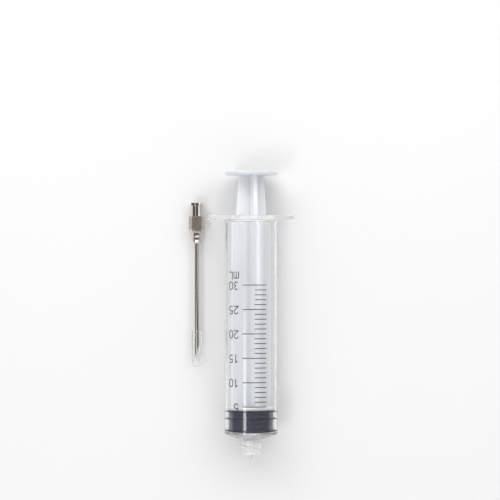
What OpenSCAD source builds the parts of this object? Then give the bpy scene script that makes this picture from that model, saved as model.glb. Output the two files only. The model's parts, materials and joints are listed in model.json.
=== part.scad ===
// Kitchen marinade injector: a 30 mL luer-lock syringe with its loose needle beside it.
// The syringe lies on its finger flange along Y, thumb disc towards +Y. Z = 0 is the table.

/* [Barrel] */
// Bore of the barrel, which also sets the pitch of the scale
bore_d = 23.3; // [22.9:0.1:23.5]
// Wall thickness of the barrel tube
wall_t = 1.2; // [1.1:0.1:1.3]
// Length of the tube from its mouth to the shoulder of the nose
tube_len = 106.1; // [104:0.1:110]
// Height of the shallow cone between the tube and the luer collar
nose_h = 2.9; // [2.6:0.1:3.6]
// Height of the ring inside the mouth that stops the piston
bead_h = 0.45; // [0.3:0.05:0.6]

/* [Finger flange] */
// Span of the flange over its two wings
flange_span = 42.7; // [40:0.1:44]
// Distance between the flange's two flats
flange_flats = 26.6; // [26.4:0.1:30]
// Thickness of the flange
flange_t = 2.3; // [1.8:0.1:3]

/* [Luer lock] */
// Outside diameter of the luer collar
collar_od = 9.9; // [9.6:0.1:10.4]
// Bore of the luer collar at the root of its thread
collar_bore = 8; // [7.8:0.1:8.2]
// Length of the luer collar
collar_len = 7; // [6:0.1:8]
// Diameter of the male luer tip at its free end
tip_d = 3.95; // [3.92:0.01:3.99]
// How far the tip stands out of the collar
tip_out = 2.2; // [2.1:0.1:3]
// Diameter of the passage through the tip
tip_bore = 2; // [1.6:0.1:2.6]

/* [Scale] */
// Volume at the top line in millilitres
capacity = 30; // [20:5:30]
// Thickness of the printed lines along the barrel
tick_t = 0.4; // [0.2:0.05:0.5]
// Height of a numeral
digit_h = 4.1; // [3.4:0.1:4.4]
// Width of a numeral
digit_w = 2.7; // [2.2:0.1:2.9]
// Thickness of a numeral's stroke
stroke_t = 0.45; // [0.3:0.05:0.55]

/* [Plunger] */
// Width of the cross-shaped rod over its ribs
rod_w = 20; // [18:0.1:20.5]
// Thickness of a rib
rib_t = 1.9; // [1.4:0.1:2.4]
// Width of the rod's neck at the barrel's mouth
neck_w = 15.6; // [14:0.1:17]
// Width of the rod's neck under the thumb disc
neck_top_w = 12.2; // [11:0.1:13.5]
// Diameter of the thumb disc
thumb_d = 25.5; // [23:0.1:26]
// Thickness of the thumb disc
thumb_t = 2.2; // [1.8:0.1:3]
// Distance from the barrel's mouth to the top of the thumb disc with the plunger pushed in
thumb_out = 21.5; // [18:0.1:26]
// Turn of the cross about the barrel's axis in degrees
rod_turn = 20; // [0:0.1:90]

/* [Piston] */
// Length of the rubber piston over its cylindrical part
piston_len = 10.3; // [9.8:0.1:12]
// Diameter of the piston between its sealing ribs
piston_waist_d = 21.4; // [20.6:0.1:22.2]
// Radial clearance between the sealing ribs and the bore
piston_gap = 0.04; // [0.02:0.01:0.08]

/* [Needle] */
// Distance between the axes of the barrel and of the needle that lies beside it
needle_apart = 26.5; // [26.1:0.1:40]
// How far the needle's hub lies past the barrel's mouth towards the thumb disc
hub_past = 6.3; // [0:0.1:12]
// Length of the hub
hub_len = 19.9; // [19.5:0.1:24]
// Width of the hub's square block over its flats
block_w = 7.8; // [7.6:0.1:8.4]
// Length of the square block
block_len = 7.9; // [7:0.1:8.4]
// Distance from the hub's mouth to the square block
block_at = 6.6; // [6.4:0.1:7]
// Outside diameter of the needle tube
needle_od = 2.4; // [2:0.1:2.6]
// Inside diameter of the needle tube
needle_id = 1.8; // [1.2:0.1:1.8]
// Length of the needle tube that stands out of the hub
needle_out = 56.6; // [40:0.1:70]
// Angle of the bevelled point to the tube's axis in degrees
bevel_angle = 17; // [15:1:30]

/* [Tip guard] */
// Outside diameter of the guard
guard_od = 4.95; // [4.6:0.05:6]
// Length of the guard
guard_len = 17.6; // [15:0.1:25]
// How far the guard reaches past the needle's point
guard_past = 3.8; // [2.6:0.1:5]

/* [Hidden] */
$fn = 96;

// Barrel
bore_r = bore_d / 2;
barrel_r = bore_r + wall_t;
shoulder_r = 0.9;
collar_r = collar_od / 2;
collar_floor = -(tube_len + nose_h + 0.7);
collar_end = -(tube_len + nose_h + collar_len);
tip_end = collar_end - tip_out;
luer_taper = 0.06;
floor_wall = 1.1;
floor_edge = -(tube_len - floor_wall);
floor_slope = 0.17;
bead_top = -2;

// Place of the syringe and of the needle on the table
overall_len = thumb_out - tip_end;
axis_z = flange_flats / 2;
left_edge = -needle_apart - block_w / 2;
barrel_x = -(left_edge + flange_span / 2) / 2;
mouth_y = overall_len / 2 - thumb_out;

// Rest place of the piston, just clear of the barrel's floor
piston_front = floor_edge + 0.25;
piston_back = piston_front + piston_len;

// Scale
ml_pitch = 1000 / (PI * bore_r * bore_r);
zero_z = piston_front + 0.7;
ink_t = 0.05;
ink_gap = 0.01;
short_ticks = [7.8, 34.5];
long_ticks = [-18.7, 34.5];
numerals_from = -26.5;
numerals_below = 0.35;
digit_gap = 0.55;
stroke_depth = 3;
pen_x = (digit_w - stroke_t) / 2;
pen_y = (digit_h - stroke_t) / 2;

// Piston and the plunger's head inside it
seal_r = bore_r - piston_gap;
waist_r = piston_waist_d / 2;
head_r = 6;
head_neck_r = 4;
head_gap = 0.05;
lip_t = 2;
head_t = 3.6;

// Plunger rod
disc_r = rod_w / 2 + 0.6;
disc_t = 1.6;
disc_bottom = piston_back + 0.1;
ribs_from = disc_bottom + disc_t;
shoulder_from = -4.9;
shoulder_to = -1.7;
thumb_bottom = thumb_out - thumb_t;

// Needle
needle_z = block_w / 2;
block_corner = 1.5;
lug_span = 7.8;
lug_flats = 5.4;
lug_len = 1.4;
socket_r = 2.15;
socket_depth = 8;
neck_r = 2.25;
scoop_r = 3.6;
block_top = -block_at;
block_end = -(block_at + block_len);
tube_seat = -12;
tube_end = -(hub_len + needle_out);
tube_fit = 0.01;
guard_end = tube_end - guard_past;
guard_bore_r = needle_od / 2 + 0.05;

// Points along an arc from angle a0 to a1
function arc(x, y, r, a0, a1, n = 8) =
    [for (i = [0 : n]) [x + r * cos(a0 + (a1 - a0) * i / n), y + r * sin(a0 + (a1 - a0) * i / n)]];

// A smooth step from 0 to 1
function ease(t) = (1 - cos(180 * t)) / 2;

// Frames whose Z runs along each axis towards the thumb disc
module on_barrel_axis() {
    translate([barrel_x, mouth_y, axis_z])
        rotate([-90, 0, 0])
            children();
}

module on_needle_axis() {
    translate([barrel_x - needle_apart, mouth_y + hub_past, needle_z])
        rotate([-90, 0, 0])
            children();
}

// Angle about the barrel of a place seen from above, 0 on top and positive towards +X
function seen_at(angle) = angle - 90;

module tube_and_nose() {
    cone_angle = atan(nose_h / (barrel_r - collar_r));
    tip_root_r = tip_d / 2 + luer_taper / 2 * (collar_floor - tip_end);
    rotate_extrude()
        polygon(concat(
            [[bore_r + 0.35, 0], [barrel_r, 0]],
            arc(barrel_r - shoulder_r, shoulder_r - tube_len, shoulder_r, 0, cone_angle - 90),
            [[collar_r, -tube_len - nose_h],
             [collar_r, collar_end + 0.2],
             [collar_r - 0.2, collar_end],
             [collar_bore / 2, collar_end],
             [collar_bore / 2, collar_floor],
             [tip_root_r, collar_floor],
             [tip_d / 2, tip_end],
             [tip_bore / 2, tip_end],
             [tip_bore / 2, floor_edge - floor_slope * (bore_r - tip_bore / 2)],
             [bore_r, floor_edge],
             [bore_r, bead_top - 3 * bead_h],
             [bore_r - bead_h, bead_top - 2 * bead_h],
             [bore_r - bead_h, bead_top - bead_h],
             [bore_r, bead_top],
             [bore_r, -0.35]]
        ));
}

module finger_flange() {
    rim_r = 0.6;
    rim_at = flange_span / 2 - rim_r;
    root_r = bore_r + wall_t / 2;
    intersection() {
        rotate_extrude()
            polygon(concat(
                [[root_r, 0], [root_r, -flange_t]],
                arc(rim_at, rim_r - flange_t, rim_r, -90, 0, 6),
                arc(rim_at, -rim_r, rim_r, 0, 90, 6)
            ));
        translate([0, 0, -flange_t / 2])
            cube([flange_span + 1, flange_flats, flange_t + 1], center = true);
    }
}

module barrel() {
    color([0.88, 0.92, 0.95, 0.45])
        on_barrel_axis()
            union() {
                tube_and_nose();
                finger_flange();
            }
}

module printed_line(z, span) {
    rotate([0, 0, seen_at(span[0])])
        rotate_extrude(angle = span[1] - span[0])
            translate([barrel_r + ink_gap, z - tick_t / 2])
                square([ink_t, tick_t]);
}

module scale_ticks() {
    color([0.22, 0.23, 0.26])
        on_barrel_axis()
            for (ml = [0 : capacity])
                printed_line(zero_z + ml * ml_pitch, ml % 5 == 0 ? long_ticks : short_ticks);
}

// Strokes of the numerals, drawn flat around the numeral's centre and raised along Z
module line_stroke(from, to) {
    run = to - from;
    translate([from[0], from[1], 0])
        rotate([0, 0, atan2(run[1], run[0])])
            translate([-stroke_t / 2, -stroke_t / 2, -stroke_depth / 2])
                cube([norm(run) + stroke_t, stroke_t, stroke_depth]);
}

module arc_stroke(centre, r, from, to) {
    translate([centre[0], centre[1], -stroke_depth / 2])
        rotate([0, 0, from])
            rotate_extrude(angle = to - from)
                translate([r - stroke_t / 2, 0])
                    square([stroke_t, stroke_depth]);
}

module digit_0() {
    side = pen_y - pen_x;
    arc_stroke([0, side], pen_x, 0, 180);
    arc_stroke([0, -side], pen_x, 180, 360);
    line_stroke([-pen_x, -side + stroke_t / 2], [-pen_x, side - stroke_t / 2]);
    line_stroke([pen_x, -side + stroke_t / 2], [pen_x, side - stroke_t / 2]);
}

module digit_1() {
    line_stroke([0.25, -pen_y], [0.25, pen_y]);
    line_stroke([-pen_x * 0.55, pen_y * 0.6], [0.2, pen_y]);
}

module digit_2() {
    turn = pen_y - pen_x;
    arc_stroke([0, turn], pen_x, -35, 165);
    line_stroke([-pen_x, -pen_y], [pen_x * cos(-35), turn + pen_x * sin(-35)]);
    line_stroke([-pen_x, -pen_y], [pen_x, -pen_y]);
}

module digit_3() {
    top_r = pen_y * 0.48;
    low_r = pen_y - top_r;
    arc_stroke([0, pen_y - top_r], top_r, -90, 155);
    arc_stroke([0, -pen_y + low_r], low_r, -155, 90);
}

module digit_5() {
    bowl = pen_y - pen_x;
    line_stroke([-pen_x * 0.8, pen_y], [pen_x * 0.9, pen_y]);
    line_stroke([-pen_x * 0.8, pen_y * 0.1], [-pen_x * 0.8, pen_y]);
    arc_stroke([0, -bowl], pen_x, -150, 130);
}

module letter_m() {
    arch_r = pen_x * 0.6;
    top = pen_y * 0.25;
    for (side = [-1, 1])
        arc_stroke([side * arch_r, top], arch_r, 0, 180);
    for (leg = [-1, 0, 1])
        line_stroke([leg * 2 * arch_r, -pen_y], [leg * 2 * arch_r, top - stroke_t / 2]);
}

module letter_l() {
    line_stroke([-pen_x * 0.8, -pen_y], [-pen_x * 0.8, pen_y]);
    line_stroke([-pen_x * 0.8, -pen_y], [pen_x * 0.8, -pen_y]);
}

module glyph(sign) {
    if (sign == "0") digit_0();
    if (sign == "1") digit_1();
    if (sign == "2") digit_2();
    if (sign == "3") digit_3();
    if (sign == "5") digit_5();
    if (sign == "m") letter_m();
    if (sign == "L") letter_l();
}

// A row of signs wrapped round the barrel, upright when the nose points up
module printed_row(signs, z) {
    step = (digit_w + digit_gap) / barrel_r * 180 / PI;
    for (i = [0 : len(signs) - 1])
        intersection() {
            translate([0, 0, z - digit_h])
                difference() {
                    cylinder(r = barrel_r + ink_gap + ink_t, h = 2 * digit_h);
                    translate([0, 0, -1])
                        cylinder(r = barrel_r + ink_gap, h = 2 * digit_h + 2);
                }
            rotate([0, 0, seen_at(numerals_from - (i + 0.5) * step)])
                translate([barrel_r, 0, z])
                    rotate([-90, 0, -90])
                        glyph(signs[i]);
        }
}

module scale_numerals() {
    color([0.22, 0.23, 0.26])
        on_barrel_axis() {
            for (ml = [5 : 5 : capacity])
                printed_row(str(ml), zero_z + ml * ml_pitch - numerals_below);
            printed_row("mL", zero_z + (capacity + 2) * ml_pitch - numerals_below);
        }
}

module piston_seal() {
    rib_t_rubber = 0.8;
    mid_rib = piston_back - 3.5;
    front_r = seal_r - 0.2;
    color([0.2, 0.21, 0.25])
        on_barrel_axis()
            rotate_extrude()
                polygon(concat(
                    [[0, piston_front - floor_slope * front_r],
                     [front_r, piston_front]],
                    arc(seal_r - 0.4, piston_front + 0.45, 0.4, -30, 90, 4),
                    [[waist_r, piston_front + 1.1],
                     [waist_r, mid_rib - rib_t_rubber],
                     [seal_r - 0.2, mid_rib - rib_t_rubber * 0.75],
                     [seal_r, mid_rib - rib_t_rubber / 2],
                     [seal_r - 0.2, mid_rib - rib_t_rubber * 0.25],
                     [waist_r, mid_rib],
                     [waist_r, piston_back - 1],
                     [seal_r - 0.2, piston_back - 0.75],
                     [seal_r, piston_back - 0.45],
                     [seal_r - 0.2, piston_back - 0.1],
                     [seal_r - 0.5, piston_back],
                     [head_neck_r + head_gap, piston_back],
                     [head_neck_r + head_gap, piston_back - lip_t],
                     [head_r + head_gap, piston_back - lip_t],
                     [head_r + head_gap, piston_back - lip_t - head_t - 0.2],
                     [0, piston_back - lip_t - head_t - 0.8]]
                ));
}

// One of the rod's two crossed ribs, from the disc behind the piston to the thumb disc
module rod_rib() {
    steps = 8;
    rise = shoulder_to - shoulder_from;
    shoulder = [for (i = [0 : steps])
        [rod_w / 2 - (rod_w - neck_w) / 2 * ease(i / steps), shoulder_from + rise * i / steps]];
    right = concat([[rod_w / 2, ribs_from]], shoulder, [[neck_top_w / 2, thumb_bottom]]);
    left = [for (i = [len(right) - 1 : -1 : 0]) [-right[i][0], right[i][1]]];
    rotate([90, 0, 0])
        linear_extrude(height = rib_t, center = true)
            polygon(concat(right, left));
}

module plunger_rod() {
    rim_r = 0.75;
    thumb_r = thumb_d / 2;
    color([0.9, 0.93, 0.95])
        on_barrel_axis()
            rotate([0, 0, rod_turn])
                union() {
                    rod_rib();
                    rotate([0, 0, 90])
                        rod_rib();
                    rotate_extrude()
                        polygon(concat(
                            [[0, thumb_bottom - 0.3],
                             [neck_top_w / 2, thumb_bottom],
                             [thumb_r - 3, thumb_bottom]],
                            arc(thumb_r - rim_r, thumb_bottom + 0.25 + rim_r, rim_r, -90, 0, 5),
                            arc(thumb_r - rim_r, thumb_out - rim_r - 0.2, rim_r, 0, 90, 5),
                            [[thumb_r - 4, thumb_out],
                             [0, thumb_out]]
                        ));
                    rotate_extrude()
                        polygon([
                            [0, ribs_from],
                            [disc_r, ribs_from],
                            [disc_r, disc_bottom],
                            [head_neck_r, disc_bottom],
                            [head_neck_r, piston_back - lip_t - 0.1],
                            [head_r, piston_back - lip_t - 0.1],
                            [head_r, piston_back - lip_t - head_t + 0.8],
                            [head_r - 0.8, piston_back - lip_t - head_t],
                            [0, piston_back - lip_t - head_t]
                        ]);
                }
}

// The gripping block: a square bar with its corners cut off and a turned chamfer at its end
module square_block() {
    half = block_w / 2;
    middle = (block_top + block_end) / 2;
    across_corners = (block_w - block_corner) * sqrt(2);
    turned_r = half + 0.9;
    chamfer_slope = 1.34;
    chamfer_r = half - 0.4;
    intersection() {
        translate([0, 0, middle])
            cube([block_w, block_w, block_len], center = true);
        translate([0, 0, middle])
            rotate([0, 0, 45])
                cube([across_corners, across_corners, block_len], center = true);
        rotate_extrude()
            polygon([
                [0, block_top],
                [turned_r - 0.4, block_top],
                [turned_r, block_top - 0.4],
                [turned_r, block_end + chamfer_slope * (turned_r - chamfer_r)],
                [chamfer_r, block_end],
                [0, block_end]
            ]);
    }
}

// The two lugs that the luer collar's thread draws in: a disc with two flats
module hub_lugs() {
    intersection() {
        cube([lug_flats, lug_span + 1, 2 * lug_len], center = true);
        translate([0, 0, -lug_len])
            rotate_extrude()
                polygon([
                    [0, 0],
                    [lug_span / 2, 0],
                    [lug_span / 2, lug_len - 0.15],
                    [lug_span / 2 - 0.15, lug_len],
                    [0, lug_len]
                ]);
    }
}

// Two dents on the front and two on the back of the hub's neck, which hold the tube
module crimp_dents() {
    dent_w = 2.4;
    for (side = [-1, 1]) {
        translate([0, side * neck_r, block_end - 0.9])
            rotate([45, 0, 0])
                cube([dent_w, 0.8, 0.8], center = true);
        translate([0, side * (neck_r + scoop_r - 0.35), block_end - 3.1])
            rotate([0, 90, 0])
                cylinder(r = scoop_r, h = dent_w, center = true);
    }
}

module needle_hub() {
    body_r = 2.9;
    nose_r = 0.9;
    color([0.72, 0.69, 0.66])
        on_needle_axis()
            difference() {
                union() {
                    rotate_extrude()
                        polygon(concat(
                            [[0, -0.1],
                             [lug_flats / 2, -0.1],
                             [lug_flats / 2, -lug_len],
                             [body_r, -lug_len - 0.2],
                             [body_r, block_top - 0.1],
                             [body_r, block_end + 0.1],
                             [neck_r, block_end - 0.1]],
                            arc(neck_r - nose_r, nose_r - hub_len, nose_r, 0, -90, 6),
                            [[0, -hub_len]]
                        ));
                    square_block();
                    hub_lugs();
                }
                rotate_extrude()
                    polygon([
                        [0, 1],
                        [socket_r + luer_taper / 2, 1],
                        [socket_r - luer_taper / 2 * socket_depth, -socket_depth],
                        [0, -socket_depth]
                    ]);
                translate([0, 0, tube_seat - 1])
                    cylinder(d = needle_id, h = 1 - tube_seat);
                translate([0, 0, -hub_len - 1])
                    cylinder(r = needle_od / 2 + tube_fit, h = hub_len + 1 + tube_seat);
                crimp_dents();
            }
}

module needle_tube() {
    length = tube_seat - tube_end;
    knife = 20;
    color([0.78, 0.77, 0.75])
        on_needle_axis()
            difference() {
                translate([0, 0, tube_end])
                    cylinder(d = needle_od, h = length);
                translate([0, 0, tube_end - 1])
                    cylinder(d = needle_id, h = length + 2);
                translate([-needle_od / 2, 0, tube_end])
                    rotate([0, bevel_angle, 0])
                        translate([0, -knife / 2, -knife / 2])
                            cube(knife);
            }
}

module needle_guard() {
    r = guard_od / 2;
    round_r = 1.9;
    bore_end = tube_end - 1.2;
    color([0.85, 0.88, 0.9, 0.5])
        on_needle_axis()
            rotate_extrude()
                polygon(concat(
                    [[0, guard_end]],
                    arc(r - round_r, guard_end + round_r, round_r, -90, 0, 10),
                    [[r, guard_end + guard_len - 0.2],
                     [r - 0.2, guard_end + guard_len],
                     [guard_bore_r + 0.2, guard_end + guard_len],
                     [guard_bore_r, guard_end + guard_len - 0.3],
                     [guard_bore_r, bore_end],
                     [0, bore_end - 0.5]]
                ));
}

barrel();
scale_ticks();
scale_numerals();
piston_seal();
plunger_rod();
needle_hub();
needle_tube();
needle_guard();
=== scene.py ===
"""A kitchen meat injector on a pale table: clear syringe, milky plunger, black piston, capped needle."""
import json
import math

import bmesh
import bpy
from mathutils import Matrix, Vector


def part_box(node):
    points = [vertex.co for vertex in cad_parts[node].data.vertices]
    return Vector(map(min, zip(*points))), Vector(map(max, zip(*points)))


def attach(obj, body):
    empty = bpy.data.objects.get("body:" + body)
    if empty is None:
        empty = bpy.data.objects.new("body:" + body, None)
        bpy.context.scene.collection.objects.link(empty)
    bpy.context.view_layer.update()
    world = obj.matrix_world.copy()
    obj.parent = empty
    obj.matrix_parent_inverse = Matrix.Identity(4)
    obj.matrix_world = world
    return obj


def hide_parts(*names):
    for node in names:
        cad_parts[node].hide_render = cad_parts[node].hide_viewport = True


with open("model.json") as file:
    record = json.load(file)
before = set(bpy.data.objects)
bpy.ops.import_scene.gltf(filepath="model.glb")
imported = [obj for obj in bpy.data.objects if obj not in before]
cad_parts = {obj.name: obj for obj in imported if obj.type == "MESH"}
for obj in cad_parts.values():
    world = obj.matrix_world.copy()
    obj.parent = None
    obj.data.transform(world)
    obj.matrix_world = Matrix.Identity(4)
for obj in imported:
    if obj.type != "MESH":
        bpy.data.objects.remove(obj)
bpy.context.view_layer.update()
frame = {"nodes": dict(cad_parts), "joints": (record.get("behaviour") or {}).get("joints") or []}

# ---------------------------------------------------------------- places and sizes, in metres

MM = 0.001
joints = {j["name"]: j for j in frame["joints"]}
AXIS_X, _, AXIS_Z = joints["plunger_spin"]["pos_m"]
MOUTH_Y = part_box("barrel")[1].y
MOUTH = Vector((AXIS_X, MOUTH_Y, AXIS_Z))
needle_low, needle_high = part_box("needle_tube")
NEEDLE_X = (needle_low.x + needle_high.x) / 2
NEEDLE_Z = (needle_low.z + needle_high.z) / 2
guard_low, guard_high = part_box("needle_guard")
HUB_MOUTH_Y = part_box("needle_hub")[1].y

BORE_R = 11.65 * MM
BARREL_R = 12.85 * MM
FLANGE_T = 2.3 * MM
FLANGE_FLAT = AXIS_Z          # the syringe stands on one of the flange's flats
FLANGE_R = 21.35 * MM
COLLAR_R = 4.95 * MM
THREAD_ROOT_R = 4.0 * MM
THREAD_DEPTH = 0.5 * MM
THREAD_LEAD = 5 * MM
PASSAGE_R = 1.0 * MM
TIP_R = 1.975 * MM
TIP_ROOT_R = 2.22 * MM        # the tip's taper, down at the collar's floor
BEAD_H = 0.45 * MM
WAIST_R = 10.7 * MM           # the piston between its ribs
PISTON_LEN = 10.3 * MM
RIB_R = BORE_R + 0.02 * MM    # just into the wall, so that the ribs show as touching it
THUMB_R = 12.75 * MM
GUARD_BORE_R = 1.25 * MM

# places along the barrel are counted from its mouth, towards the thumb disc
FLOOR_S = -105.0 * MM
SHOULDER_S = -106.1 * MM
PASSAGE_S = -106.81 * MM      # where the floor's cone meets the passage through the tip
COLLAR_S = -109.0 * MM
TIP_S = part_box("barrel")[0].y - MOUTH_Y
COLLAR_END_S = TIP_S + 2.2 * MM
ZONE_REACH = 1 * MM           # how far the flange's and the nose's plastic run into the tube's

# the hub's square block, counted from the hub's mouth
BLOCK_FROM = 6.6 * MM
BLOCK_TO = 14.5 * MM
MILLED_HALF = 2.35 * MM       # half the width of the flat between the block's cut corners


# ---------------------------------------------------------------- mesh helpers

def rounded(corners, steps=5):
    """An outline through (a, b, radius) corners, with each corner turned by an arc of its radius."""
    points = []
    for i, (a, b, radius) in enumerate(corners):
        here = Vector((a, b))
        if radius <= 0:
            points.append((a, b))
            continue
        back = (Vector(corners[i - 1][:2]) - here).normalized()
        ahead = (Vector(corners[(i + 1) % len(corners)][:2]) - here).normalized()
        half = back.angle(ahead) / 2
        centre = here + (back + ahead).normalized() * radius / math.sin(half)
        first = here + back * radius / math.tan(half) - centre
        last = here + ahead * radius / math.tan(half) - centre
        start = math.atan2(first.y, first.x)
        turn = math.atan2(last.y, last.x) - start
        turn = (turn + math.pi) % (2 * math.pi) - math.pi
        for k in range(steps + 1):
            angle = start + turn * k / steps
            points.append((centre.x + radius * math.cos(angle), centre.y + radius * math.sin(angle)))
    return points


def braced(outline, closed=False, reach=0.15 * MM, shortest=1.2 * MM):
    """The outline with two more points near the ends of each long straight, so that it shades straight."""
    points = []
    ends = list(zip(outline, outline[1:] + outline[:1]))
    for here, there in ends if closed else ends[:-1]:
        points.append(here)
        step = Vector(there) - Vector(here)
        if step.length > shortest:
            near = step.normalized() * reach
            points.append(tuple(Vector(here) + near))
            points.append(tuple(Vector(there) - near))
    return points if closed else points + [outline[-1]]


def finish_mesh(name, bm, sharp_deg=32):
    """An object from a bmesh, with outward normals and smooth shading up to the sharp angle."""
    bmesh.ops.remove_doubles(bm, verts=bm.verts, dist=1e-8)
    bmesh.ops.recalc_face_normals(bm, faces=bm.faces)
    mesh = bpy.data.meshes.new(name)
    bm.to_mesh(mesh)
    bm.free()
    mesh.shade_smooth()
    mesh.set_sharp_from_angle(angle=math.radians(sharp_deg))
    obj = bpy.data.objects.new(name, mesh)
    bpy.context.scene.collection.objects.link(obj)
    return obj


def lathe(name, outline, origin, closed=False, angles=160, shape=None, sharp_deg=32):
    """Turns an outline of (radius, distance along +Y) about the Y axis through origin.

    shape(radius, distance, angle) may change the radius, for a flange's flats or a wall's thread."""
    if isinstance(angles, int):
        angles = [2 * math.pi * k / angles for k in range(angles)]
    bm = bmesh.new()
    rings = []
    for r, s in braced(outline, closed):
        if r < 1e-7:
            rings.append([bm.verts.new((origin.x, origin.y + s, origin.z))] * len(angles))
            continue
        ring = []
        for a in angles:
            reach = shape(r, s, a) if shape else r
            ring.append(bm.verts.new((origin.x + reach * math.cos(a), origin.y + s,
                                      origin.z + reach * math.sin(a))))
        rings.append(ring)
    pairs = list(zip(rings, rings[1:] + rings[:1]))
    for one, other in pairs if closed else pairs[:-1]:
        for k in range(len(angles)):
            j = (k + 1) % len(angles)
            corners = []
            for v in (one[k], one[j], other[j], other[k]):
                if v not in corners:
                    corners.append(v)
            if len(corners) > 2:
                bm.faces.new(corners)
    return finish_mesh(name, bm, sharp_deg)


def loft(name, sections, sharp_deg=32):
    """Joins sections, each a list of points with as many points as the others, and caps both ends."""
    bm = bmesh.new()
    rings = [[bm.verts.new(p) for p in section] for section in sections]
    n = len(rings[0])
    for one, other in zip(rings, rings[1:]):
        for k in range(n):
            bm.faces.new((one[k], one[(k + 1) % n], other[(k + 1) % n], other[k]))
    bm.faces.new(rings[0])
    bm.faces.new(rings[-1])
    return finish_mesh(name, bm, sharp_deg)


def united(base, parts, sharp_deg=32):
    """One closed mesh of base and the parts that overlap it."""
    for part in parts:
        cut = base.modifiers.new("join", "BOOLEAN")
        cut.operation = "UNION"
        cut.solver = "EXACT"
        cut.object = part
    graph = bpy.context.evaluated_depsgraph_get()
    mesh = bpy.data.meshes.new_from_object(base.evaluated_get(graph), depsgraph=graph)
    base.modifiers.clear()
    base.data = mesh
    mesh.shade_smooth()
    mesh.set_sharp_from_angle(angle=math.radians(sharp_deg))
    for part in parts:
        bpy.data.objects.remove(part)
    return base


# ---------------------------------------------------------------- material helpers

class Nodes:
    """A short way to build one node material."""

    def __init__(self, name):
        self.material = bpy.data.materials.new(name)
        self.material.use_nodes = True
        self.tree = self.material.node_tree
        self.tree.nodes.clear()
        self.output = self.add("ShaderNodeOutputMaterial")
        self.shader = self.add("ShaderNodeBsdfPrincipled")
        self.link(self.shader, "BSDF", self.output, "Surface")
        self.place = self.add("ShaderNodeTexCoord")

    def add(self, kind, **settings):
        node = self.tree.nodes.new(kind)
        for key, value in settings.items():
            setattr(node, key, value)
        return node

    def link(self, a, out, b, into):
        self.tree.links.new(a.outputs[out], b.inputs[into])

    def set(self, **values):
        for key, value in values.items():
            self.shader.inputs[key.replace("_", " ")].default_value = value

    def noise(self, scale, stretch=(1, 1, 1), detail=3.0, rough=0.55):
        """Noise in metres: scale is features per metre, stretch divides it along each axis."""
        mapping = self.add("ShaderNodeMapping")
        mapping.inputs["Scale"].default_value = tuple(scale / s for s in stretch)
        self.link(self.place, "Object", mapping, "Vector")
        noise = self.add("ShaderNodeTexNoise")
        noise.inputs["Scale"].default_value = 1.0
        noise.inputs["Detail"].default_value = detail
        noise.inputs["Roughness"].default_value = rough
        self.link(mapping, "Vector", noise, "Vector")
        return noise

    def ranged(self, node, out, low, high, from_low=0.3, from_high=0.7):
        """Maps a node's output to low..high."""
        span = self.add("ShaderNodeMapRange")
        span.inputs["From Min"].default_value = from_low
        span.inputs["From Max"].default_value = from_high
        span.inputs["To Min"].default_value = low
        span.inputs["To Max"].default_value = high
        self.link(node, out, span, "Value")
        return span

    def blend(self, node, out, colour_a, colour_b):
        """A colour between two, by a node's output."""
        mix = self.add("ShaderNodeMix", data_type="RGBA")
        mix.inputs["A"].default_value = (*colour_a, 1)
        mix.inputs["B"].default_value = (*colour_b, 1)
        self.link(node, out, mix, "Factor")
        return mix

    def bump(self, node, out, depth, strength=0.6, before=None):
        bump = self.add("ShaderNodeBump")
        bump.inputs["Strength"].default_value = strength
        bump.inputs["Distance"].default_value = depth
        self.link(node, out, bump, "Height")
        if before:
            self.link(before, "Normal", bump, "Normal")
        return bump

    def choice(self, node, out, mix_a, mix_b):
        """One blended colour or the other, by a node's output."""
        mix = self.add("ShaderNodeMix", data_type="RGBA")
        self.link(node, out, mix, "Factor")
        self.tree.links.new(mix_result(mix_a), mix.inputs["A"])
        self.tree.links.new(mix_result(mix_b), mix.inputs["B"])
        return mix

    def finish(self, colour=None, rough=None, marks=None):
        """Gives the shader its colour from a mix, its roughness from a range and its normal from a bump."""
        if colour:
            self.tree.links.new(mix_result(colour), self.shader.inputs["Base Color"])
        if rough:
            self.link(rough, "Result", self.shader, "Roughness")
        if marks:
            self.link(marks, "Normal", self.shader, "Normal")
        return self.material


def mix_result(mix):
    """The colour output of a Mix node."""
    return next(o for o in mix.outputs if o.type == "RGBA")


def clear_plastic(name, tint, haze, lets_through, smooth=(0.03, 0.05)):
    """Clear moulded plastic: a little haze, handling marks and faint flow lines along the part.

    Shadow rays and diffuse rays go straight through it, tinted by lets_through, so that it casts a light
    shadow. The two mixes are nested because the export counts a factor straight from a ray type as 0."""
    n = Nodes(name)
    n.set(Base_Color=(*tint, 1), IOR=1.49, Transmission_Weight=1 - haze, Specular_IOR_Level=0.5)
    smudges = n.ranged(n.noise(1800, detail=4), "Fac", *smooth)
    flow = n.noise(900, stretch=(1, 40, 1), detail=1)
    n.finish(rough=smudges, marks=n.bump(flow, "Fac", 0.00004 * MM, 0.02))
    clear = n.add("ShaderNodeBsdfTransparent")
    clear.inputs["Color"].default_value = (*lets_through, 1)
    path = n.add("ShaderNodeLightPath")
    seen = n.shader.outputs["BSDF"]
    for ray in ("Is Shadow Ray", "Is Diffuse Ray"):
        mix = n.add("ShaderNodeMixShader")
        n.link(path, ray, mix, "Fac")
        n.tree.links.new(seen, mix.inputs[1])
        n.tree.links.new(clear.outputs["BSDF"], mix.inputs[2])
        seen = mix.outputs["Shader"]
    n.tree.links.new(seen, n.output.inputs["Surface"])
    return n.material


def band(n, axis, low, high, soft):
    """1 where a place's coordinate is between low and high, 0 outside, with soft edges."""
    split = n.add("ShaderNodeSeparateXYZ")
    n.link(n.place, "Object", split, "Vector")
    rise = n.ranged(split, axis, 0, 1, low - soft, low + soft)
    fall = n.ranged(split, axis, 1, 0, high - soft, high + soft)
    both = n.add("ShaderNodeMath", operation="MULTIPLY")
    n.link(rise, "Result", both, 0)
    n.link(fall, "Result", both, 1)
    return both


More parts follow.
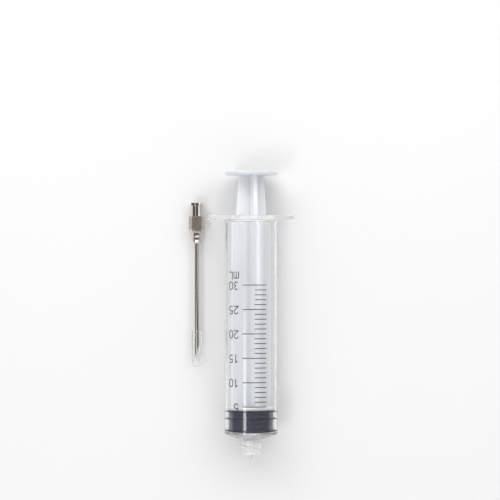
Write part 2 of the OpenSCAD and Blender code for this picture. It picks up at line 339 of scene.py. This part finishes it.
def milky_plastic():
    """Natural polypropylene: cloudy white-blue, satin, faintly grained, darker in the thumb disc."""
    n = Nodes("milky_plastic")
    n.set(IOR=1.49, Subsurface_Weight=0.8, Subsurface_Scale=0.003, Subsurface_Radius=(1.0, 1.05, 1.1))
    cloud = n.noise(120, stretch=(1, 5, 1), detail=3)
    thin = n.blend(cloud, "Fac", (0.73, 0.748, 0.77), (0.785, 0.803, 0.825))
    # the thumb disc is coloured darker than the rod
    thumb_tone = n.blend(cloud, "Fac", (0.56, 0.575, 0.60), (0.62, 0.635, 0.66))
    thumb_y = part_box("plunger_rod")[1].y
    at_thumb = band(n, "Y", thumb_y - 2.4 * MM, thumb_y + 1 * MM, 0.3 * MM)
    colour = n.choice(at_thumb, "Value", thin, thumb_tone)
    rough = n.ranged(n.noise(700), "Fac", 0.26, 0.42)
    grain = n.noise(5200, detail=2)
    return n.finish(colour, rough, n.bump(grain, "Fac", 0.006 * MM, 0.4))


def rubber():
    """Black-blue moulded rubber with a film of silicone oil and a little dust."""
    n = Nodes("piston_rubber")
    n.set(IOR=1.5, Specular_IOR_Level=0.25)
    cloud = n.noise(420, detail=5)
    colour = n.blend(cloud, "Fac", (0.003, 0.006, 0.024), (0.008, 0.012, 0.046))
    rough = n.ranged(n.noise(1400), "Fac", 0.32, 0.55)
    grain = n.noise(7000, detail=3)
    return n.finish(colour, rough, n.bump(grain, "Fac", 0.01 * MM, 0.5))


def ink():
    """Screen-printed ink: dark grey, thinner in places."""
    n = Nodes("scale_ink")
    n.set(IOR=1.5)
    thin = n.noise(3800, detail=4)
    colour = n.blend(n.ranged(thin, "Fac", 0, 1), "Result", (0.02, 0.021, 0.025), (0.06, 0.062, 0.07))
    rough = n.ranged(n.noise(2600), "Fac", 0.45, 0.7)
    return n.finish(colour, rough, n.bump(thin, "Fac", 0.004 * MM, 0.4))


def plated_metal():
    """Nickel plate: mirror-like where it was turned, satin with fine milling marks on the block's flats. The
    front and back flats are also coloured darker and mottled: the mottle is the milled finish, the darkness
    is painted shade.
    """
    n = Nodes("plated_hub")
    n.set(Metallic=1.0)
    soft = 0.1 * MM
    on_block = band(n, "Y", HUB_MOUTH_Y - BLOCK_TO, HUB_MOUTH_Y - BLOCK_FROM, soft)
    on_flat = band(n, "X", NEEDLE_X - MILLED_HALF, NEEDLE_X + MILLED_HALF, soft)
    on_face = n.add("ShaderNodeMath", operation="MULTIPLY")
    n.link(on_block, "Value", on_face, 0)
    n.link(on_flat, "Value", on_face, 1)
    tarnish = n.ranged(n.noise(600, detail=5), "Fac", 0, 1)
    bright = n.blend(tarnish, "Result", (0.66, 0.60, 0.54), (0.76, 0.71, 0.65))
    # painted shade: the block's front and back flats get a darker colour than the plating, mottled like the
    # milled finish
    mottle = n.ranged(n.noise(2600, detail=3), "Fac", 0, 1)
    milled_painted_shade = n.blend(mottle, "Result", (0.22, 0.20, 0.17), (0.62, 0.56, 0.49))
    turned = n.ranged(n.noise(900, detail=4), "Fac", 0.06, 0.16)
    milled = n.ranged(n.noise(2200, detail=4), "Fac", 0.24, 0.42)
    rough = n.add("ShaderNodeMix", data_type="FLOAT")
    n.link(on_block, "Value", rough, "Factor")
    n.tree.links.new(turned.outputs["Result"], rough.inputs["A"])
    n.tree.links.new(milled.outputs["Result"], rough.inputs["B"])
    mixed = next(o for o in rough.outputs if o.type == "VALUE")
    n.tree.links.new(mixed, n.shader.inputs["Roughness"])
    edges = n.add("ShaderNodeBevel", samples=4)
    edges.inputs["Radius"].default_value = 0.09 * MM
    rings = n.noise(14000, stretch=(12, 1, 12), detail=2)
    lines = n.bump(rings, "Fac", 0.003 * MM, 0.25, before=edges)
    return n.finish(n.choice(on_face, "Value", bright, milled_painted_shade), marks=lines)


def drawn_steel():
    """Polished stainless tube with fine lines along its length."""
    n = Nodes("steel_tube")
    n.set(Metallic=1.0)
    stain = n.ranged(n.noise(500, stretch=(1, 6, 1), detail=4), "Fac", 0, 1)
    colour = n.blend(stain, "Result", (0.64, 0.60, 0.55), (0.69, 0.65, 0.60))
    rough = n.ranged(n.noise(6000, stretch=(1, 8, 1)), "Fac", 0.06, 0.10)
    lines = n.noise(16000, stretch=(1, 60, 1), detail=2)
    return n.finish(colour, rough, n.bump(lines, "Fac", 0.002 * MM, 0.25))


# ---------------------------------------------------------------- the syringe

def barrel_angles():
    """Even steps round the barrel, with the flange's four corners among them."""
    count = 192
    corner = math.asin(FLANGE_FLAT / FLANGE_R)
    even = [2 * math.pi * k / count for k in range(count)]
    special = [corner, math.pi - corner, math.pi + corner, 2 * math.pi - corner]
    near = 2 * math.pi / count * 0.4
    return sorted([a for a in even if min(abs(a - c) for c in special) > near] + special)


def barrel_radius(r, s, angle):
    """Cuts the flange's flats, and raises the double luer thread on the collar's inner wall."""
    if s > -FLANGE_T - ZONE_REACH:
        return min(r, FLANGE_FLAT / max(abs(math.sin(angle)), 1e-6))
    thread_top, thread_end = COLLAR_S - 0.9 * MM, COLLAR_S - 6.7 * MM
    if abs(r - THREAD_ROOT_R) < 1e-6 and thread_end < s < thread_top:
        starts = 2
        flat = 0.15
        steepness = 1.5
        run_out = 0.5 * MM
        turns = (s - thread_end) / THREAD_LEAD * starts - angle / math.pi
        crest = max(0.0, math.cos(2 * math.pi * turns) - flat) / (1 - flat)
        fade = min(1.0, (s - thread_end) / run_out, (thread_top - s) / run_out)
        return r - THREAD_DEPTH * min(1.0, crest * steepness) * fade
    return r


def make_barrel():
    """The clear moulding, turned in one piece with its flange, bead, nose, threaded collar and tip."""
    collar_floor = COLLAR_S - 0.7 * MM
    steps = 40
    threaded = [(THREAD_ROOT_R, COLLAR_END_S + (collar_floor - COLLAR_END_S) * k / steps, 0)
                for k in range(steps + 1)]
    corners = [
        (BORE_R, 0, 0.3 * MM),
        (FLANGE_R, 0, 0.6 * MM),
        (FLANGE_R, -FLANGE_T, 0.6 * MM),
        (BARREL_R, -FLANGE_T, 0.7 * MM),
        (BARREL_R, SHOULDER_S, 0.9 * MM),
        (COLLAR_R, COLLAR_S, 0.5 * MM),
        (COLLAR_R, COLLAR_END_S, 0.2 * MM),
        *threaded,
        (TIP_ROOT_R, collar_floor, 0.15 * MM),
        (TIP_R, TIP_S, 0.15 * MM),
        (PASSAGE_R, TIP_S, 0.1 * MM),
        (PASSAGE_R, PASSAGE_S, 0.3 * MM),
        (BORE_R, FLOOR_S, 0.15 * MM),
        (BORE_R, -3.35 * MM, 0),
        (BORE_R - BEAD_H, -2.9 * MM, 0.2 * MM),
        (BORE_R - BEAD_H, -2.45 * MM, 0.2 * MM),
        (BORE_R, -2.0 * MM, 0),
    ]
    return lathe("barrel_shell", rounded(corners), MOUTH, closed=True, angles=barrel_angles(),
                 shape=barrel_radius)


def barrel_zone(face):
    """Which of the barrel's clear plastics a face has: 0 the tube's, 1 flange, 2 nose, 3 collar."""
    s = face.center.y - MOUTH_Y
    r = (face.center.xz - MOUTH.xz).length
    if s > -FLANGE_T - ZONE_REACH and r > BORE_R + 0.2 * MM:
        return 1
    if s > SHOULDER_S + ZONE_REACH or r < 2.5 * MM:
        return 0
    return 3 if s < COLLAR_S else 2


def make_piston():
    """The rubber piston, with its three sealing ribs and the hollow that holds the rod's head."""
    low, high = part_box("piston_seal")
    back = high.y - MOUTH_Y
    front = back - PISTON_LEN
    rib_round = 0.175 * MM
    cavity_r = 6.05 * MM
    lip_r = 4.05 * MM
    lip_t = 2 * MM

    def rib(middle, half):
        flank = 0.15 * MM
        return [(WAIST_R, middle + half + flank, flank), (RIB_R, middle + half, rib_round),
                (RIB_R, middle - half, rib_round), (WAIST_R, middle - half - flank, flank)]

    corners = [
        (0, back - 6.4 * MM, 0),
        (cavity_r, back - 5.8 * MM, 0.3 * MM),
        (cavity_r, back - lip_t, 0.2 * MM),
        (lip_r, back - lip_t, 0.2 * MM),
        (lip_r, back, 0.2 * MM),
        (RIB_R - 0.15 * MM, back, 0.2 * MM),
        (RIB_R, back - 0.3 * MM, 0.1 * MM),
        (RIB_R, back - 0.75 * MM, rib_round),
        (WAIST_R, back - 0.95 * MM, 0.2 * MM),
        *rib(back - 3.9 * MM, 0.32 * MM),
        (WAIST_R, front + 1.2 * MM, 0.2 * MM),
        (RIB_R, front + 0.95 * MM, rib_round),
        (RIB_R, front + 0.2 * MM, 0.15 * MM),
        (RIB_R - 0.25 * MM, front, 0.15 * MM),
        (0, low.y - MOUTH_Y, 0),
    ]
    return lathe("piston_rubber_body", rounded(corners, 4), MOUTH, angles=144, sharp_deg=45)


def cross_section(half_w, y, turn_deg, half_t=0.95 * MM):
    """A plus sign with rounded tips and roots, in a plane across the barrel's axis."""
    tip_round = 0.3 * MM
    root_round = 0.5 * MM
    arm = ((half_w, -half_t, tip_round), (half_w, half_t, tip_round), (half_t, half_t, root_round))
    corners = []
    for c, s in ((1, 0), (0, 1), (-1, 0), (0, -1)):
        for a, b, radius in arm:
            corners.append((a * c - b * s, a * s + b * c, radius))
    turn = Matrix.Rotation(math.radians(turn_deg), 3, "Y")
    return [turn @ Vector((a, 0, b)) + Vector((AXIS_X, y, AXIS_Z)) for a, b in rounded(corners, 4)]


def make_plunger():
    """The milky rod: backing disc and head in the rubber, cross ribs, shoulder, tapered neck, thumb disc."""
    turn_deg = 20
    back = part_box("piston_seal")[1].y - MOUTH_Y
    ribs_from = back + 1.7 * MM
    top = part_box("plunger_rod")[1].y - MOUTH_Y
    under = top - 2.2 * MM
    shoulder_from, shoulder_to = -4.9 * MM, -1.7 * MM
    wide, neck, neck_top = 10 * MM, 7.8 * MM, 6.1 * MM
    flare = 1.5 * MM
    flare_out = 1.2 * MM
    shoulder_steps = 12
    flare_steps = 6

    stations = [(ribs_from - 0.8 * MM, wide), (ribs_from + 20 * MM, wide), (shoulder_from - 30 * MM, wide),
                (shoulder_from, wide)]
    for k in range(1, shoulder_steps + 1):
        t = k / shoulder_steps
        step = (1 - math.cos(math.pi * t)) / 2
        stations.append((shoulder_from + (shoulder_to - shoulder_from) * t, wide + (neck - wide) * step))
    stations.append((under - flare, neck_top + (neck - neck_top) * 0.07))
    for k in range(1, flare_steps + 1):
        t = math.pi / 2 * k / flare_steps
        stations.append((under - flare + flare * math.sin(t), neck_top + flare_out * (1 - math.cos(t))))
    stations.append((under + 0.6 * MM, neck_top + flare_out))
    ribs = loft("plunger_body", [cross_section(w, MOUTH_Y + s, turn_deg) for s, w in stations])

    disc_r, disc_t = 10.6 * MM, 1.6 * MM
    stem_r = 4 * MM
    head_r, head_from = 6 * MM, back - 2.1 * MM
    head_end = back - 5.6 * MM
    disc = lathe("disc", rounded([
        (0, ribs_from, 0),
        (disc_r, ribs_from, 0.3 * MM),
        (disc_r, ribs_from - disc_t, 0.3 * MM),
        (stem_r, ribs_from - disc_t, 0.1 * MM),
        (stem_r, head_from, 0.1 * MM),
        (head_r, head_from, 0.2 * MM),
        (head_r, head_end + 0.8 * MM, 0.3 * MM),
        (head_r - 0.8 * MM, head_end, 0.3 * MM),
        (0, head_end, 0),
    ]), MOUTH, angles=128)
    thumb = lathe("thumb", rounded([
        (0, under - 0.3 * MM, 0),
        (5.5 * MM, under, 0.4 * MM),
        (THUMB_R - 3 * MM, under, 1 * MM),
        (THUMB_R, under + 0.3 * MM, 0.75 * MM),
        (THUMB_R, top - 0.15 * MM, 0.7 * MM),
        (THUMB_R - 4 * MM, top, 1 * MM),
        (0, top, 0),
    ]), MOUTH, angles=160)
    return united(ribs, [disc, thumb])


def make_guard():
    """The clear cap on the needle's point: a thick tube with one round end."""
    r = (guard_high.x - guard_low.x) / 2
    low, high = guard_low.y, guard_high.y
    bore_end = needle_low.y - 1.2 * MM
    outline = rounded([
        (0, low, 0),
        (r, low, 1.9 * MM),
        (r, high, 0.2 * MM),
        (GUARD_BORE_R, high, 0.25 * MM),
        (GUARD_BORE_R, bore_end, 0.4 * MM),
        (0, bore_end - 0.5 * MM, 0),
    ], 8)
    return lathe("guard_tube", outline, Vector((NEEDLE_X, 0, NEEDLE_Z)), angles=96)


barrel_clear = clear_plastic("barrel_clear", (0.965, 0.965, 0.97), 0.02, (0.96, 0.963, 0.968))
flange_clear = clear_plastic("flange_clear", (0.965, 0.965, 0.97), 0.3, (0.93, 0.935, 0.94), (0.18, 0.26))
nose_clear = clear_plastic("nose_clear", (0.97, 0.97, 0.98), 0.1, (0.95, 0.955, 0.96), (0.10, 0.16))
collar_clear = clear_plastic("collar_clear", (0.975, 0.975, 0.98), 0.25, (0.95, 0.955, 0.96), (0.13, 0.19))
guard_clear = clear_plastic("guard_clear", (0.96, 0.965, 0.96), 0.03, (0.92, 0.93, 0.93))

pieces = [
    (make_barrel(), "barrel", "barrel", "clear_plastic", barrel_clear),
    (make_piston(), "piston", "piston_seal", "piston_rubber", rubber()),
    (make_plunger(), "plunger", "plunger_rod", "milky_plastic", milky_plastic()),
    (make_guard(), "guard", "needle_guard", "guard_plastic", guard_clear),
]
for piece, body, node, slot, material in pieces:
    piece.data.materials.clear()
    piece.data.materials.append(material)
    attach(piece, body)
    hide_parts(node)

shell = pieces[0][0]
for zone in (flange_clear, nose_clear, collar_clear):
    shell.data.materials.append(zone)
for face in shell.data.polygons:
    face.material_index = barrel_zone(face)

scale_ink = ink()
for node, material in (("scale_ticks", scale_ink), ("scale_numerals", scale_ink),
                       ("needle_hub", plated_metal()), ("needle_tube", drawn_steel())):
    for place in frame["nodes"][node].material_slots:
        place.material = material


# ---------------------------------------------------------------- table, lights and camera

def make_table():
    """A plain pale table, far larger than the view."""
    bm = bmesh.new()
    bmesh.ops.create_grid(bm, x_segments=24, y_segments=24, size=3)
    table = finish_mesh("table", bm)
    n = Nodes("pale_table")
    tone = n.noise(6, detail=2)
    n.set(Roughness=0.7, Specular_IOR_Level=0.2)
    colour = n.blend(tone, "Fac", (0.80, 0.80, 0.805), (0.83, 0.83, 0.835))
    table.data.materials.append(n.finish(colour))


def softbox(name, tilt_deg, away, size, power, down_deg=0, shift=0):
    """A lamp that shines on the focus: tilt is from straight up towards +X, down is then towards -Y.

    The size is how far the lamp reaches across, in the tilt's direction, and along Y. Shift moves it
    along Y."""
    tilt, down = math.radians(tilt_deg), math.radians(down_deg)
    way = Vector((math.sin(tilt) * math.cos(down), -math.sin(down), math.cos(tilt) * math.cos(down)))
    light = bpy.data.lights.new(name, "AREA")
    light.shape = "RECTANGLE"
    light.size, light.size_y = size
    light.energy = power
    lamp = bpy.data.objects.new(name, light)
    lamp.location = focus + way * away + Vector((0, shift, 0))
    lamp.rotation_euler = (down, tilt, 0)
    bpy.context.scene.collection.objects.link(lamp)


def make_world():
    """A room that is dark across the barrel's axis and bright along it, for dark slots in the barrel."""
    world = bpy.data.worlds.new("studio")
    world.use_nodes = True
    tree = world.node_tree
    ground = tree.nodes["Background"]
    ground.inputs["Color"].default_value = (1.0, 0.99, 0.985, 1)
    way = tree.nodes.new("ShaderNodeTexCoord")
    split = tree.nodes.new("ShaderNodeSeparateXYZ")
    tree.links.new(way.outputs["Generated"], split.inputs["Vector"])
    along = tree.nodes.new("ShaderNodeMath")
    along.operation = "ABSOLUTE"
    tree.links.new(split.outputs["Y"], along.inputs[0])
    strength = tree.nodes.new("ShaderNodeMapRange")
    strength.inputs["From Min"].default_value = 0.15
    strength.inputs["From Max"].default_value = 0.45
    strength.inputs["To Min"].default_value = 0.12
    strength.inputs["To Max"].default_value = 1.16
    tree.links.new(along.outputs["Value"], strength.inputs["Value"])
    tree.links.new(strength.outputs["Result"], ground.inputs["Strength"])
    bpy.context.scene.world = world


FOCUS_Y = 0.0315
LAMP_AWAY = 1.2
STRIP_W = 0.27
STRIP_STEPS = (                # from, to and radiance, counted from the focus towards the luer tip
    (-0.08, 0.035, 0.4),
    (0.035, 0.065, 0.6),
    (0.065, 0.11, 1.4),
    (0.11, 0.16, 2.3),
    (0.16, 0.66, 4.8),
)

focus = Vector((AXIS_X, FOCUS_Y, AXIS_Z))
make_table()
softbox("key", 42, LAMP_AWAY, (0.55, 0.9), 2.1, down_deg=-18)
# the strip's reflection runs the barrel's length, and its steps meet edge to edge without overlapping
for step, (near, far, radiance) in enumerate(STRIP_STEPS):
    reach = far - near
    power = 4 * radiance * STRIP_W * reach
    softbox(f"strip_{step}", -28, LAMP_AWAY, (STRIP_W, reach), power, shift=-(near + far) / 2)
softbox("wide", -38, LAMP_AWAY, (0.6, 0.6), 2.9, down_deg=-46)
softbox("top_fill", 12, 0.5, (0.3, 0.2), 0.4, down_deg=-48)
make_world()

VIEW_WIDTH = 0.2428
VIEW_FROM = 1.1
VIEW_ASIDE = -0.0005           # the photo's barrel stands a little right of the middle
camera_data = bpy.data.cameras.new("camera")
camera_data.sensor_width = 36
camera_data.lens = camera_data.sensor_width * VIEW_FROM / VIEW_WIDTH
camera_data.clip_start = 0.01
camera = bpy.data.objects.new("camera", camera_data)
camera.location = (AXIS_X + VIEW_ASIDE, focus.y, AXIS_Z + VIEW_FROM)
bpy.context.scene.collection.objects.link(camera)
bpy.context.scene.camera = camera
bpy.context.scene.view_settings.view_transform = "Standard"
